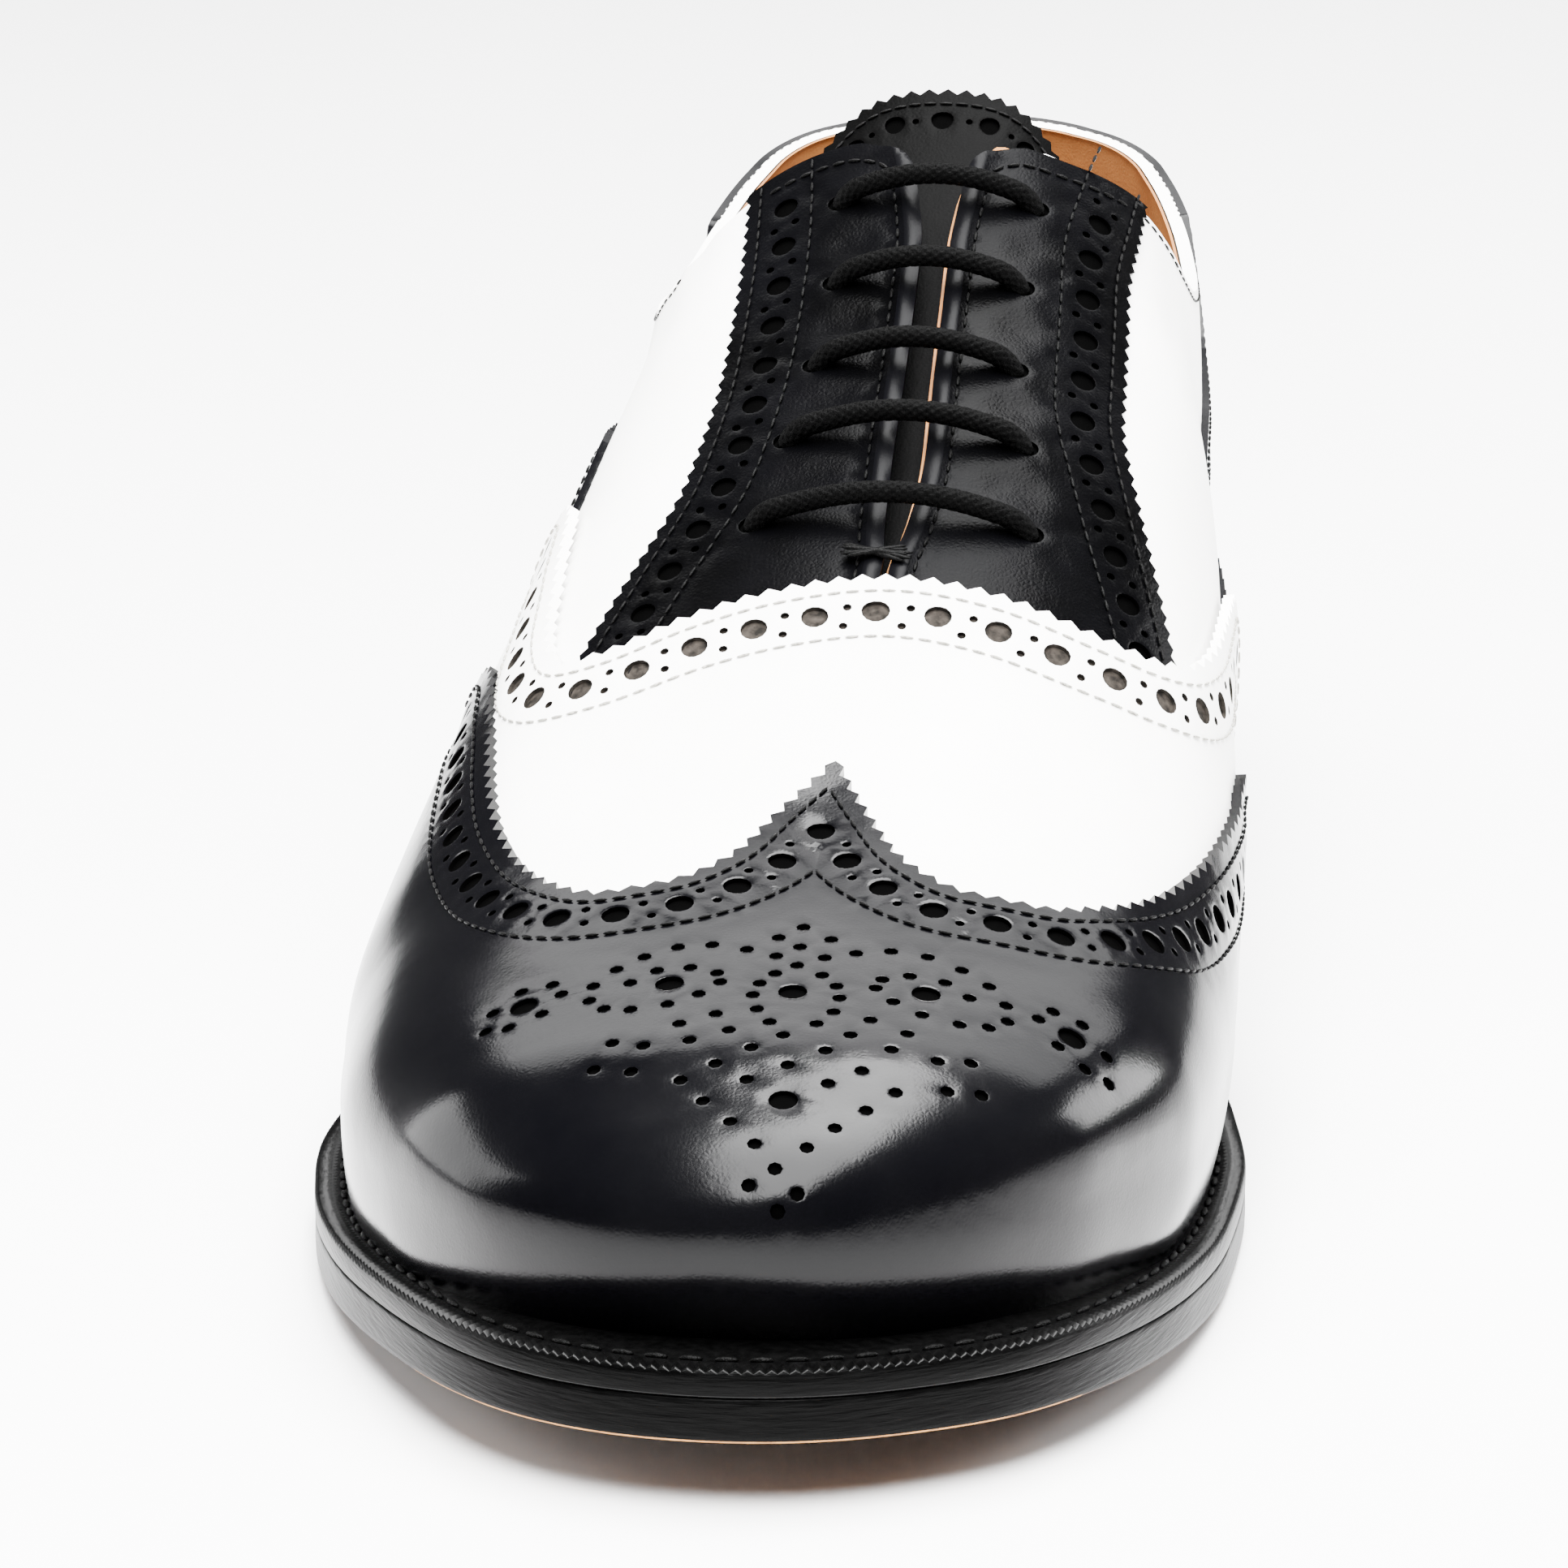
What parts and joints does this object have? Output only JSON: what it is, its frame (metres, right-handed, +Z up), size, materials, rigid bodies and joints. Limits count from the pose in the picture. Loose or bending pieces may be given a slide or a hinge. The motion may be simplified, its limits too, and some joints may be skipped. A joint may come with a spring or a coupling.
{
  "type": "spectator shoe",
  "caption": "Black and white spectator oxford for the right foot, with a brogued wingtip, vamp, facings and counter, straight black laces, and a welted leather sole with a stacked heel.",
  "frame": {"origin": "on the floor under the middle of the box, with the toe towards -Y, the heel towards +Y, the big-toe side towards +X and +Z up", "axes": "X across the shoe, Y along it from toe to heel, Z up"},
  "size_m": [0.1072, 0.2998, 0.1113],
  "materials": {
    "black_calf": "polished smooth calf",
    "white_calf": "smooth white calf with a fine grain",
    "black_edge": "black waxed edge dressing",
    "sole_leather": "oak-brown sole leather, edge dyed black",
    "insole_leather": "tan lining leather",
    "heel_rubber": "matt black",
    "waxed_cotton": "round braided cord, lightly waxed"
  },
  "bodies": {
    "root": {"upper": "white_calf", "wingtip": "black_calf", "vamp": "white_calf", "facing_lateral": "black_calf", "facing_medial": "black_calf", "counter": "black_calf", "tongue": "black_calf", "outsole": "sole_leather", "welt": "black_edge", "rand": "black_edge", "insole": "insole_leather", "heel_lift_1": "black_edge", "heel_lift_2": "black_edge", "heel_lift_3": "black_edge", "heel_top_piece": "heel_rubber", "lace_bar_1": "waxed_cotton", "lace_bar_2": "waxed_cotton", "lace_bar_3": "waxed_cotton", "lace_bar_4": "waxed_cotton", "lace_bar_5": "waxed_cotton"}
  },
  "joints": []
}
